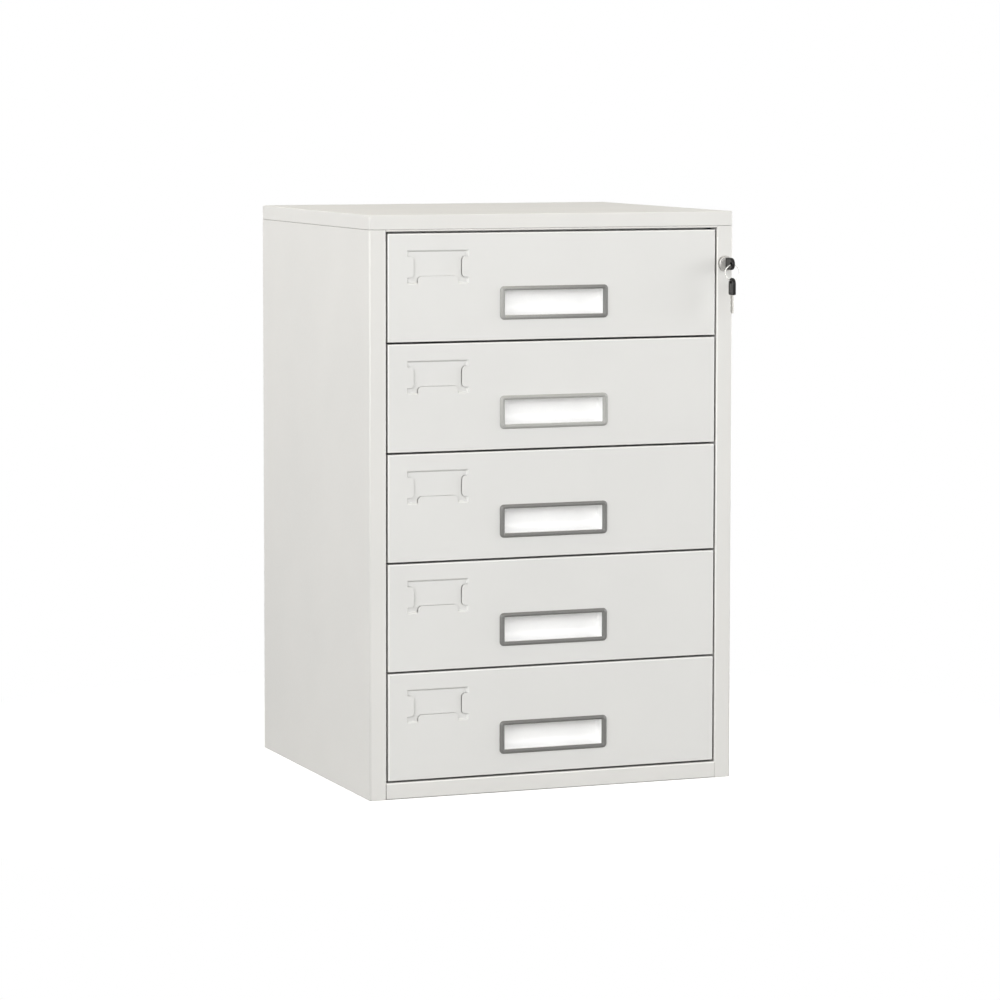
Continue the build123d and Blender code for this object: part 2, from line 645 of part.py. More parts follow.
def lock_hooks():
    """One hook for each drawer, fixed to the back of the bar."""
    inner = TRAY_HALF + HOOK_OFF_TRAY
    outer = LOCK_X + BAR_WIDTH / 2
    pieces = []
    for bottom in FRONT_BOTTOMS:
        tip = bottom + CATCH_UP - HOOK_UNLOCKED
        arm = tip - HOOK_TOOTH
        y = (BAR_REAR, HOOK_REAR)
        hook = block((inner, outer), y, (arm - HOOK_ARM, arm))
        hook += block((inner, inner + HOOK_TOOTH), y, (arm, tip))
        pieces.append(hook)
    return group(pieces)


def lock_bar_guides():
    """Sleeves on the side panel that the bar slides in."""
    half = BAR_WIDTH / 2 + STACK_CLEAR
    x = (LOCK_X - half, LOCK_X + half)
    y = (BAR_FRONT - STACK_CLEAR, BAR_REAR + STACK_CLEAR)
    pieces = []
    for bottom in FRONT_BOTTOMS[::2]:
        top = bottom + CATCH_UP - HOOK_UNLOCKED - GUIDE_BELOW
        z = (top - GUIDE_HEIGHT, top)
        sleeve = block((x[0] - GUIDE_SHEET, SIDE_INSIDE), (y[0] - GUIDE_SHEET, y[1] + GUIDE_SHEET), z)
        pieces.append(sleeve - block(x, y, z))
    return group(pieces)


def key_blade():
    """A blade in the YZ plane, pointing down from z = 0, with its root above."""
    half, tip = BLADE_WIDTH / 2, -BLADE_LENGTH
    outline = Polygon(
        (-half, BLADE_ROOT),
        (half, BLADE_ROOT),
        (half, tip + BLADE_SLOPE),
        (half - BLADE_SLOPE, tip),
        (BLADE_EDGE - half, tip),
        (-half, tip + BLADE_EDGE),
        align=None,
    )
    for number, depth in enumerate(BLADE_CUTS):
        z = -FIRST_CUT - number * CUT_PITCH
        notch = Rectangle(math.sqrt(2) * depth, math.sqrt(2) * depth, rotation=45)
        outline -= Pos(half, z) * notch
    return along_x(outline, (-BLADE_SHEET / 2, BLADE_SHEET / 2))


def key_bow():
    """The moulded grip over the blade's root, domed at its end, with the hole for the ring."""
    half = BOW_WIDTH / 2
    straight = BOW_LENGTH - half
    foot = Pos(0, straight / 2) * Rectangle(BOW_WIDTH, straight)
    foot = fillet(foot.vertices().group_by(Axis.Y)[0], BOW_CORNER)
    outline = foot + Pos(0, straight) * Circle(half)
    bow = along_x(outline, (-BOW_SHEET / 2, BOW_SHEET / 2))
    faces = bow.faces().sort_by(Axis.X)
    bow = chamfer(faces[0].edges() + faces[-1].edges(), BOW_EDGE)
    hole = Pos(0, BOW_LENGTH - BOW_HOLE_IN) * Circle(BOW_HOLE / 2)
    bow -= along_x(hole, (-BOW_SHEET / 2, BOW_SHEET / 2))
    return bow - key_blade()


def key_ring():
    """The wire ring through both bows."""
    centre = RING_TOP - RING_DIAMETER / 2
    wire = Pos(RING_DIAMETER / 2, 0) * RegularPolygon(RING_WIRE / 2, RING_SIDES)
    return Pos(LOCK_X, RING_Y, centre) * revolve(wire, Axis.Y)


in_lock = Pos(LOCK_X, KEY_SHOULDER, LOCK_Z) * Rot(90, 0, 0)
on_ring = Pos(LOCK_X, RING_Y, SPARE_SHOULDER)
left_rails = slide_rails()

nodes = {
    "top_panel": top_panel(),
    "left_side_panel": mirrored(side_panel()),
    "right_side_panel": right_side_panel(),
    "back_panel": back_panel(),
    "base_panel": base_panel(),
    "top_front_rail": top_front_rail(),
    "front_uprights": uprights(FRONT_POST),
    "rear_uprights": uprights(REAR_POST),
    "left_slide_rails": left_rails,
    "right_slide_rails": mirrored(left_rails),
    "lock_barrel": lock_barrel(),
    "lock_clip": lock_clip(),
    "lock_bar_guides": lock_bar_guides(),
    "lock_plug": lock_plug(),
    "lock_cam": lock_cam(),
    "lock_bar": lock_bar(),
    "lock_hooks": lock_hooks(),
    "key_blade": in_lock * key_blade(),
    "key_bow": in_lock * key_bow(),
    "key_ring": key_ring(),
    "spare_key_blade": on_ring * key_blade(),
    "spare_key_bow": on_ring * key_bow(),
}

drawer = {
    "front": drawer_front(),
    "tray": tray(),
    "back": tray_back(),
    "handle_bezel": handle_bezel(),
    "handle_cup": handle_cup(),
    "slide_mid": Pos(0, 0, SLIDE_UP) * slide_mid(),
    "slide_inner": Pos(0, 0, SLIDE_UP) * slide_inner(),
}
for number, bottom in enumerate(FRONT_BOTTOMS, start=1):
    for name, piece in drawer.items():
        nodes[f"drawer_{number}_{name}"] = Pos(0, 0, bottom) * piece

os.makedirs("parts", exist_ok=True)
for name, shape in nodes.items():
    export_step(shape, f"parts/{name}.step")
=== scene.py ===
import math

import bmesh
import bpy
from mathutils import Matrix, Vector

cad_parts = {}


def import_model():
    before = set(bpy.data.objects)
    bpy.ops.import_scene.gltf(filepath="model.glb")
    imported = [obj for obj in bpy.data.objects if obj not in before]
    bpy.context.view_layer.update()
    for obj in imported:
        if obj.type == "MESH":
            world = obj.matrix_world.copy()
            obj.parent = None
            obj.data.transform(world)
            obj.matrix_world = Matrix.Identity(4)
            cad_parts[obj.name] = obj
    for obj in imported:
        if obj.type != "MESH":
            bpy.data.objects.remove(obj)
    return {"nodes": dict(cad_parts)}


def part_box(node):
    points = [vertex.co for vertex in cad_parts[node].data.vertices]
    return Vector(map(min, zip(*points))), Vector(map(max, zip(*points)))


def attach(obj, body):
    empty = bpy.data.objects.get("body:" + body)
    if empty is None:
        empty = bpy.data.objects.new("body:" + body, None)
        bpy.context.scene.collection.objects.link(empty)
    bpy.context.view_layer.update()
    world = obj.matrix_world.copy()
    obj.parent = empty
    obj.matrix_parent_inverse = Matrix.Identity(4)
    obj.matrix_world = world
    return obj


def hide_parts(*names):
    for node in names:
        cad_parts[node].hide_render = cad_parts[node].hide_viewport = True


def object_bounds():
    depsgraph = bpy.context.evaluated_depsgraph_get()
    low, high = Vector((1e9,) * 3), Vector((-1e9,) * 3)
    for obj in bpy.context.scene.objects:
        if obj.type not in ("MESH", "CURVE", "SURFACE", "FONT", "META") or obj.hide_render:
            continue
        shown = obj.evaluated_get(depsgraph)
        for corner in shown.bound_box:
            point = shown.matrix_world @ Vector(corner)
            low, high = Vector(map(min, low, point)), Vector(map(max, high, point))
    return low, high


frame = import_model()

# A steel cabinet with five drawers, in metres: X to the right, the drawers face -Y, Z up.
# The part's lengths are written in millimetres times MM, the stage's in metres, angles in degrees.
MM = 0.001
CAD_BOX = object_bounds()
DRAWERS = 5

NODES = frame["nodes"]

# Meshes
CORNER_STEPS = 8
LEAST_RADIUS = 0.02 * MM
SMOOTH_ANGLE = 40  # a sharper edge stays an edge
WELD_REACH = 0.005 * MM
PLANE_ANGLE = 0.6
SOFT_EDGE = 0.25 * MM  # the bevel along the edges of the carried-over nodes
SOFT_SEGMENTS = 2
SOFT_ANGLE = 35

# Handle
BEZEL_CORNER = 5.0 * MM
BEZEL_INNER_CORNER = 0.9 * MM
BEZEL_SIDE = 6.0 * MM
BEZEL_EDGE = 5.0 * MM
BEZEL_NECK = 1.5 * MM
BEZEL_NECK_CORNER = 1.5 * MM
# The frame's section: shares of the way in across its bar, and of the way out from the drawer's face
BEZEL_SECTION = (
    (0.0, 0.25), (0.02, 0.33), (0.06, 0.41), (0.38, 0.91), (0.43, 0.98), (0.48, 1.0),
    (0.60, 1.0), (0.65, 0.98), (0.69, 0.93), (0.93, 0.55), (0.97, 0.47), (1.0, 0.35),
)
CUP_WALL = 1.2 * MM
CUP_DEPTH = 13.0 * MM  # from the cup's mouth to its floor
CUP_SCOOP = 11.0 * MM
CUP_UNDERCUT = 3.0 * MM
CUP_UPPER_RADIUS = 4.0 * MM
CUP_END_RADIUS = 3.0 * MM
CUP_STEPS = 14
CUP_CLEAR_STEP = 0.2 * MM  # the least distance of another step from the undercut's
CUP_UNDERCUT_STEP = 0.01 * MM  # the depth over which the undercut opens
CUP_CORNER_GROWTH = 2.0 * MM
CUP_FLANGE_CORNER = 2.0 * MM

# Lock, in its own section: radii, and depths behind the head's front
TURNED_STEPS = 96
LOCK_CHAMFER = 0.25 * MM
HEAD_RADIUS = 9.25 * MM
HEAD_DEPTH = 5.0 * MM
HEAD_RIM = 1.3 * MM  # the rolled rim's radius
HEAD_RIM_STEPS = 8
HEAD_REAR_EDGE = 0.2 * MM
BARREL_RADIUS = 8.0 * MM
BARREL_EDGE = 0.3 * MM
GROOVE_RADIUS = 6.5 * MM
SHEET = 1.0 * MM
BORE_RADIUS = 5.5 * MM
RECESS_RADIUS = 6.7 * MM
RECESS_DEPTH = 1.4 * MM
PLUG_CLEAR = 0.05 * MM
PLUG_CORNER = 0.3 * MM  # of the keyway and of the tang
FACE_DISH = 0.15 * MM  # how far the middle of the plug's face is sunk
FACE_RIM = (1.1 * MM, 0.8 * MM)  # how far in from the plug's edge the dish's wall starts and ends
KEYWAY = (1.15 * MM, 3.45 * MM)  # half its width and half its height
KEYWAY_FLARE = 0.35 * MM
KEYWAY_MOUTH = 0.5 * MM  # the depth at which the flare ends
KEYWAY_DEPTH = 18.0 * MM
TANG = 2.5 * MM  # half its side
TANG_START = 0.3 * MM  # behind the barrel
TANG_DEPTH = 21.1 * MM

# Keys, along the bow from its shoulder, across it, and through its thickness
BOW_LENGTH = 21.0 * MM
BOW_HALF = 7.5 * MM
BOW_THICK = 2.0 * MM  # half
BOW_CORNER = 2.0 * MM
BOW_LEAST_CORNER = 0.3 * MM
BOW_DOME_STEPS = 28
BOW_STEPS = 5
BOW_HOLE = 2.25 * MM
BOW_HOLE_IN = 4.6 * MM
# The grip's rims, in millimetres: out from the hole or in from the edge, and down from the face
HOLE_RIM = ((0.0, 0.5), (0.15, 0.15), (0.5, 0.0), (0.65, 0.0))
BOW_RIM = ((1.5, 0.05), (1.0, 0.05), (0.5, 0.3), (0.15, 0.75), (0.0, 1.3))
PANEL_SUNK = 0.45 * MM
PANEL_FROM_HOLE = 0.75 * MM
PANEL_INSET = 1.9 * MM
PANEL_FADE = 3.0 * MM  # the length over which the panel sinks, from the hole towards the shoulder
RING_WIRE = (0.55 * MM, 0.3 * MM)  # half the wire's section, across and along the ring's axis
RING_TURNS = 2
RING_STEPS = 160
RING_SIDES = 8
RING_START = 100
RING_CROSSING = 30  # how steeply the wire crosses from one turn to the other
RING_END = 0.35  # the wire's width at its two ends, as a share
RING_TAPER = 14  # how fast it widens from there, over the whole wire
RING_FILL = 0.96  # the wire's thickness, as a share of the room for one turn

# Slides and trays
BALL_PITCH = 15.0 * MM
BALL_DETAIL = 2
# Rows of balls: in from the middle member's outside, off its centre line, and the ball's radius
OUTER_RUN = (2.9 * MM, 19.3 * MM, 1.9 * MM)
INNER_RUN = (5.3 * MM, 14.85 * MM, 1.75 * MM)
TRAY_SHEET = 0.8 * MM
TRAY_SCREWS = (0.1, 0.5, 0.88)  # shares of the tray's depth
SCREW_HEAD = 4.0 * MM
SCREW_RISE = 1.8 * MM
# The head's dome and its cross recess, as shares of its radius and rise
SCREW_DOME = ((1.0, 0.0), (1.0, 0.35), (0.9, 0.75), (0.68, 1.0))
CROSS_ARM = 0.5
CROSS_SLOT = 0.13  # half the slot's width
CROSS_INNER = (1.4, 1.1)  # the corner between two arms, in half widths
CROSS_TAPER = 0.8
CROSS_FLOOR = 0.35

# Finish
NOISE_SPAN = (0.3, 0.7)  # between these, a noise value goes from one end of its effect to the other
WHOLE_SPAN = (0.0, 1.0)
PLASTIC_INDEX = 1.5
AO_SAMPLES = 4
AO_OPEN = 0.6  # the share of open sky above which a place isn't darkened
# Painted shade: the paint's colour darkened in gaps and corners narrower than this reach, down to this
# share of itself
SHADE_REACH = 4.0 * MM
SHADE_TONE = 0.3
FOLD = 2.0 * MM  # as far in as a fold gets its painted highlight
# Painted highlight: the factor that lightens the paint's colour on the folds beside the drawers' gaps
FOLD_HIGHLIGHT = 1.17
# Painted shade: the share by which the paint darkens on the cabinet's outer upright folds
FOLD_SHADE = 0.05
FRONT_FACING = (-0.1, -0.4)  # the normal's Y where a face starts to count as a front, and where it does
SIDE_GAP = 2.5 * MM
NO_REPEAT = 1.0  # more than the cabinet's height
# Painted shade in the frames' corners and along their inner edge, within this reach, down to this share
BEZEL_SHADE_REACH = 2.0 * MM
BEZEL_SHADE_TONE = 0.3
BEZEL_TINT = (1.0, 1.0, 0.96)
# The grey of each frame at its left and right end, as painted light and painted reflection: the first
# frame lighter at its left end than its right, the lower three darker than the upper two
BEZEL_PAINTED_LIGHT = ((0.37, 0.178), (0.42, 0.41), (0.19, 0.185), (0.18, 0.18), (0.165, 0.165))
BEZEL_GLOSS = (0.22, 0.34)
BEZEL_GRAIN = 0.3

# Noises: features to the metre, detail, and what stretches them along an axis
PAINT_CLOUD = (9, 2)
PAINT_GLOSS_NOISE = (260, 3)
ORANGE_PEEL = (900, 2)
UNEVEN_SHEET = (14, 1)
ZINC_CLOUD = (60, 4)
ZINC_ROLLED = (500, 3, (1, 1, 0.05))
STEEL_CLOUD = (40, 3)
STEEL_DRAWN = (1400, 4, (1, 0.02, 1))
PLATE_CLOUD = (220, 4)
PLATE_SCRATCH = (2600, 4, (1, 1, 0.15))
PLASTIC_CLOUD = (80, 3)
PLASTIC_GRAIN = (2200, 3)

# Bumps: height and strength
SHEET_BUMP = (0.5 * MM, 0.12)
PEEL_BUMP = (0.04 * MM, 0.35)
ROLLED_BUMP = (0.02 * MM, 0.4)
DRAWN_BUMP = (0.02 * MM, 0.5)
SCRATCH_BUMP = (0.01 * MM, 0.2)
GRAIN_HEIGHT = 0.02 * MM

# Colours and roughness, each from one end of its noise to the other
PAINT_TONES = {
    "body_paint": ((0.765, 0.76, 0.74), (0.785, 0.778, 0.757)),
    "drawer_paint": ((0.763, 0.762, 0.748), (0.781, 0.78, 0.765)),
}
PAINT_GLOSS = (0.42, 0.56)
ZINC_TONES = ((0.50, 0.51, 0.53), (0.63, 0.64, 0.65))
ZINC_GLOSS = (0.28, 0.45)
STEEL_TONES = ((0.52, 0.53, 0.55), (0.64, 0.65, 0.66))
STEEL_GLOSS = (0.22, 0.4)
PLATES = {
    "lock_chrome": ((0.40, 0.39, 0.375), (0.50, 0.49, 0.47), (0.36, 0.5)),
    "lock_face": ((0.58, 0.57, 0.55), (0.66, 0.65, 0.63), (0.62, 0.74)),
    "key_steel": ((0.60, 0.59, 0.56), (0.72, 0.71, 0.68), (0.18, 0.3)),
}
# The plastics also have their grain's strength and their index of refraction
PLASTICS = {
    "key_plastic": ((0.007, 0.007, 0.007), (0.011, 0.010, 0.010), (0.2, 0.3), 0.3, 1.3),
    "key_panel": ((0.03, 0.03, 0.03), (0.045, 0.044, 0.043), (0.45, 0.6), 0.6, PLASTIC_INDEX),
    "cup_plastic": ((0.955, 0.955, 0.955), (0.975, 0.975, 0.97), (0.2, 0.3), 0.12, PLASTIC_INDEX),
}

# Stage
SHADOW_REACH = 0.42
HORIZON = (1.2, 1.2, 1.19)
ZENITH = (0.38, 0.35, 0.28)
FILL_LEVEL = 0.27
WHITE = (1, 1, 1, 1)
FLOOR_HALF = 30.0
FLOOR_TONE = (0.3, 0.3, 0.295)  # what it sends on to the object
FLOOR_SEEN = (0.9, 0.9, 0.9)
FLOOR_GLOW = 0.42
# Azimuth, elevation, distance, height of the target, size, level and colour
LAMPS = {
    "key": (-48, 18, 5.0, 0.35, (5.0, 3.0), 0.68, (1, 1, 1)),
    "side": (-104, 18, 1.6, 0.90, (1.4, 1.0), 0.375, (1.0, 0.985, 0.96)),
    "front": (8, 20, 3.4, 0.30, (2.4, 1.6), 0.25, (1, 1, 1)),
    "right": (75, 14, 3.0, 0.40, (2.0, 1.5), 0.5, (1, 1, 1)),
    "rear": (122, 16, 3.0, 0.45, (2.0, 1.5), 0.28, (1, 1, 1)),
    "over": (-12, 75, 2.4, 0.65, (1.4, 1.0), 0.13, (1.0, 0.88, 0.6)),
}

# Camera, fitted to the cabinet's edges in the photograph
LENS = 139.302
SENSOR_WIDTH = 36.0
LENS_SHIFT = (-0.0005, -0.0997)
CAMERA_TURN = (21.3681, 4.5898, -0.0667)  # to the right, down, and about the line of sight
CAMERA_PLACE = (-1.75622, -4.51657, 0.8477)
VIEW_REACH = 100


# Meshes

def add_object(name, data):
    """An object in the scene."""
    obj = bpy.data.objects.new(name, data)
    bpy.context.scene.collection.objects.link(obj)
    return obj


def finish_mesh(name, bm, material, body, replaced=()):
    """Turns a bmesh into a piece that rides on a body."""
    bmesh.ops.recalc_face_normals(bm, faces=bm.faces)
    mesh = bpy.data.meshes.new(name)
    bm.to_mesh(mesh)
    bm.free()
    mesh.materials.append(material)
    mesh.polygons.foreach_set("use_smooth", [True] * len(mesh.polygons))
    mesh.set_sharp_from_angle(angle=math.radians(SMOOTH_ANGLE))
    piece = add_object(name, mesh)
    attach(piece, body)
    if replaced:
        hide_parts(*replaced)
    return piece


def skin(bm, loops, closed_across=False):
    """Quads between loops of equally many points, closed round, and across or with a cap at each end."""
    rings = [[bm.verts.new(point) for point in loop] for loop in loops]
    pairs = list(zip(rings, rings[1:]))
    if closed_across:
        pairs.append((rings[-1], rings[0]))
    for a, b in pairs:
        for i in range(len(a)):
            j = (i + 1) % len(a)
            bm.faces.new((a[i], a[j], b[j], b[i]))
    if not closed_across:
        bm.faces.new(rings[0])
        bm.faces.new(rings[-1][::-1])
    return rings


def round_angles(count, offset=0.5):
    """Equal angles round a circle in radians, the first one `offset` of a step from zero."""
    return [2 * math.pi * (k + offset) / count for k in range(count)]


def on_circle(middle, radius, angles):
    """Points of a circle at some angles, in two coordinates."""
    return [(middle[0] + radius * math.cos(a), middle[1] + radius * math.sin(a)) for a in angles]


def arc(middle, radius, start, end, steps):
    """Points of an arc in two coordinates, with both ends."""
    angles = [math.radians(start + (end - start) * k / steps) for k in range(steps + 1)]
    return on_circle(middle, radius, angles)


def between(start, end, steps):
    """Points that part a straight stretch into equal steps, without its ends."""
    ways = [k / steps for k in range(1, steps)]
    return [(start[0] + (end[0] - start[0]) * w, start[1] + (end[1] - start[1]) * w) for w in ways]


def rounded_outline(left, right, low, high, radius):
    """Points round a rectangle with round corners, in two coordinates."""
    radius = max(min(radius, (right - left) / 2, (high - low) / 2), LEAST_RADIUS)
    inner_left, inner_right = left + radius, right - radius
    inner_low, inner_high = low + radius, high - radius
    upper = [(inner_right, inner_high), (inner_left, inner_high)]
    lower = [(inner_left, inner_low), (inner_right, inner_low)]
    points = []
    for turn, corner in enumerate(upper + lower):
        points += arc(corner, radius, 90 * turn, 90 * turn + 90, CORNER_STEPS)
    return points


def at_depth(outline, y):
    """An outline in X and Z, placed at one Y."""
    return [(x, y, z) for x, z in outline]


# Materials

def add(tree, kind, **values):
    """A shader node with its unlinked inputs or settings filled in."""
    node = tree.nodes.new(kind)
    for name, value in values.items():
        if name in node.inputs:
            node.inputs[name].default_value = value
        else:
            setattr(node, name, value)
    return node


def shader(name, metallic=0.0, **constants):
    """A Principled material, its tree and the shader's node."""
    material = bpy.data.materials.new(name)
    material.use_nodes = True
    tree = material.node_tree
    main = tree.nodes["Principled BSDF"]
    main.inputs["Metallic"].default_value = metallic
    for key, value in constants.items():
        main.inputs[key].default_value = value
    return material, tree, main


def noise(tree, scale, detail, stretch=(1, 1, 1)):
    """A noise value over the object's own coordinates, `scale` features to the metre."""
    place = tree.nodes.new("ShaderNodeTexCoord")
    mapping = add(tree, "ShaderNodeMapping", Scale=stretch)
    texture = add(tree, "ShaderNodeTexNoise", Scale=scale, Detail=detail)
    tree.links.new(place.outputs["Object"], mapping.inputs["Vector"])
    tree.links.new(mapping.outputs["Vector"], texture.inputs["Vector"])
    return texture.outputs["Fac"]


def axes_of(tree, source):
    """The X, Y and Z of the coordinates or of the normal."""
    place = tree.nodes.new("ShaderNodeTexCoord")
    axes = tree.nodes.new("ShaderNodeSeparateXYZ")
    tree.links.new(place.outputs[source], axes.inputs[0])
    return axes.outputs


def maths(tree, operation, *values):
    """The result of a maths node, from links or numbers."""
    node = add(tree, "ShaderNodeMath", operation=operation)
    for socket, value in zip(node.inputs, values):
        if isinstance(value, (int, float)):
            socket.default_value = value
        else:
            tree.links.new(value, socket)
    return node.outputs[0]


def mapped(tree, value, start, end, low=0.0, high=1.0, **settings):
    """A number that goes from `low` to `high` as a value goes from `start` to `end`."""
    node = add(tree, "ShaderNodeMapRange", **settings)
    node.inputs["From Min"].default_value = start
    node.inputs["From Max"].default_value = end
    node.inputs["To Min"].default_value = low
    node.inputs["To Max"].default_value = high
    tree.links.new(value, node.inputs["Value"])
    return node.outputs["Result"]


def spread(tree, value, low, high):
    """A noise value spread between two numbers."""
    return mapped(tree, value, *NOISE_SPAN, low, high)


def ramp(tree, value, low, high, span=NOISE_SPAN):
    """A value spread between two colours."""
    node = tree.nodes.new("ShaderNodeValToRGB")
    for element, position, colour in zip(node.color_ramp.elements, span, (low, high)):
        element.position = position
        element.color = (*colour, 1)
    tree.links.new(value, node.inputs["Fac"])
    return node.outputs["Color"]


def scaled(tree, colour, share):
    """A colour times a number."""
    node = add(tree, "ShaderNodeVectorMath", operation="SCALE")
    tree.links.new(colour, node.inputs[0])
    tree.links.new(share, node.inputs["Scale"])
    return node.outputs["Vector"]


def shaded(tree, colour, reach, tone):
    """A colour that falls to `tone` of itself in gaps and corners narrower than `reach`, as painted shade.
    """
    corner = add(tree, "ShaderNodeAmbientOcclusion", samples=AO_SAMPLES, Distance=reach)
    return scaled(tree, colour, mapped(tree, corner.outputs["AO"], 0.0, AO_OPEN, tone, 1.0))


def highlight_beside_border(tree, half_width, low, high, pitch):
    """1 on the front folds that run along a rectangle's border, 0 elsewhere; it repeats up the front. It
    masks the painted highlight on those folds.
    """
    at, facing = axes_of(tree, "Object"), axes_of(tree, "Normal")
    across = maths(tree, "SUBTRACT", maths(tree, "ABSOLUTE", at["X"]), half_width)
    half_height = (high - low) / 2
    margin = pitch / 2 - half_height
    above = maths(tree, "SUBTRACT", at["Z"], low - margin)
    above = maths(tree, "SUBTRACT", maths(tree, "FLOORED_MODULO", above, pitch), margin)
    upright = maths(tree, "ABSOLUTE", maths(tree, "SUBTRACT", above, half_height))
    upright = maths(tree, "SUBTRACT", upright, half_height)
    border = maths(tree, "ABSOLUTE", maths(tree, "MAXIMUM", across, upright))
    near = mapped(tree, border, FOLD, FOLD / 2, interpolation_type="SMOOTHSTEP")
    return maths(tree, "MULTIPLY", near, mapped(tree, facing["Y"], *FRONT_FACING))


def outer_fold(tree, beyond):
    """1 on the upright folds further than `beyond` from the middle, 0 on flat faces: the mask of the
    painted shade there.
    """
    at, facing = axes_of(tree, "Object"), axes_of(tree, "Normal")
    outside = maths(tree, "GREATER_THAN", maths(tree, "ABSOLUTE", at["X"]), beyond)
    # Twice the product of the normal's X and Y is 1 halfway round a fold
    slant = maths(tree, "ABSOLUTE", maths(tree, "MULTIPLY", facing["X"], facing["Y"]))
    return maths(tree, "MULTIPLY", outside, maths(tree, "MULTIPLY", slant, 2.0))


def bumps(tree, main, *layers):
    """Stacks bump layers, each a value, its height in metres and its strength."""
    normal = None
    for value, height, strength in layers:
        node = add(tree, "ShaderNodeBump", Distance=height, Strength=strength)
        tree.links.new(value, node.inputs["Height"])
        if normal is not None:
            tree.links.new(normal, node.inputs["Normal"])
        normal = node.outputs["Normal"]
    tree.links.new(normal, main.inputs["Normal"])


def powder_coat(name, border):
    """Baked powder paint: a fine orange peel over sheet that isn't quite flat.

    Its colour has a painted highlight on the folds beside the drawers' gaps, painted shade over the outer
    upright folds, and painted shade in its gaps and corners.
    """
    material, tree, main = shader(name, IOR=PLASTIC_INDEX)
    # Painted highlight on the folds beside the gaps
    painted_highlight = maths(tree, "MULTIPLY_ADD", highlight_beside_border(tree, *border), FOLD_HIGHLIGHT - 1, 1.0)
    # Painted shade on the outer upright folds
    outer_fold_shade = maths(tree, "MULTIPLY_ADD", outer_fold(tree, CAD_BOX[1].x - 2 * FOLD), -FOLD_SHADE, 1.0)
    paint = ramp(tree, noise(tree, *PAINT_CLOUD), *PAINT_TONES[name])
    paint = scaled(tree, paint, maths(tree, "MULTIPLY", painted_highlight, outer_fold_shade))
    # Painted shade in the paint's gaps and corners
    tree.links.new(shaded(tree, paint, SHADE_REACH, SHADE_TONE), main.inputs["Base Color"])
    gloss = spread(tree, noise(tree, *PAINT_GLOSS_NOISE), *PAINT_GLOSS)
    tree.links.new(gloss, main.inputs["Roughness"])
    sheet, peel = noise(tree, *UNEVEN_SHEET), noise(tree, *ORANGE_PEEL)
    bumps(tree, main, (sheet, *SHEET_BUMP), (peel, *PEEL_BUMP))
    return material


def zinc_plate(name):
    """Passivated zinc over rolled steel, with faint clouds and rolling marks along the sheet."""
    material, tree, main = shader(name, metallic=1.0)
    cloud = noise(tree, *ZINC_CLOUD)
    tree.links.new(ramp(tree, cloud, *ZINC_TONES), main.inputs["Base Color"])
    tree.links.new(spread(tree, cloud, *ZINC_GLOSS), main.inputs["Roughness"])
    bumps(tree, main, (noise(tree, *ZINC_ROLLED), *ROLLED_BUMP))
    return material


def drawn_steel(name):
    """Bright steel with lines drawn along the slide."""
    material, tree, main = shader(name, metallic=1.0)
    lines = noise(tree, *STEEL_DRAWN)
    tree.links.new(ramp(tree, noise(tree, *STEEL_CLOUD), *STEEL_TONES), main.inputs["Base Color"])
    tree.links.new(spread(tree, lines, *STEEL_GLOSS), main.inputs["Roughness"])
    bumps(tree, main, (lines, *DRAWN_BUMP))
    return material


def bright_plate(name, low, high, gloss):
    """Polished plating, with fine handling scratches in its gloss."""
    material, tree, main = shader(name, metallic=1.0)
    fine = noise(tree, *PLATE_SCRATCH)
    tree.links.new(ramp(tree, noise(tree, *PLATE_CLOUD), low, high), main.inputs["Base Color"])
    tree.links.new(spread(tree, fine, *gloss), main.inputs["Roughness"])
    bumps(tree, main, (fine, *SCRATCH_BUMP))
    return material


def moulded_grain(tree, main, gloss, strength):
    """A spark-eroded grain in a plastic's gloss and surface."""
    texture = noise(tree, *PLASTIC_GRAIN)
    tree.links.new(spread(tree, texture, *gloss), main.inputs["Roughness"])
    bumps(tree, main, (texture, GRAIN_HEIGHT, strength))


def moulded_plastic(name, low, high, gloss, grain, index):
    """Moulded plastic with a spark-eroded grain."""
    material, tree, main = shader(name, IOR=index)
    tree.links.new(ramp(tree, noise(tree, *PLASTIC_CLOUD), low, high), main.inputs["Base Color"])
    moulded_grain(tree, main, gloss, grain)
    return material


def bezel_plastic(number):
    """The frame's satin grey, which differs from drawer to drawer and along the first frame as painted
    light and painted reflection, with painted shade in its corners.
    """
    material, tree, main = shader(f"bezel_plastic_{number}", IOR=PLASTIC_INDEX)
    low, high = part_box(f"drawer_{number}_handle_bezel")
    along = mapped(tree, axes_of(tree, "Object")["X"], low.x, high.x)
    ends = [tuple(tone * tint for tint in BEZEL_TINT) for tone in BEZEL_PAINTED_LIGHT[number - 1]]
    # Painted light and reflection: the frame's grey, from its left end to its right
    tone = ramp(tree, along, *ends, WHOLE_SPAN)
    # Painted shade in the frame's corners and inner edge
    tree.links.new(shaded(tree, tone, BEZEL_SHADE_REACH, BEZEL_SHADE_TONE), main.inputs["Base Color"])
    moulded_grain(tree, main, BEZEL_GLOSS, BEZEL_GRAIN)
    return material


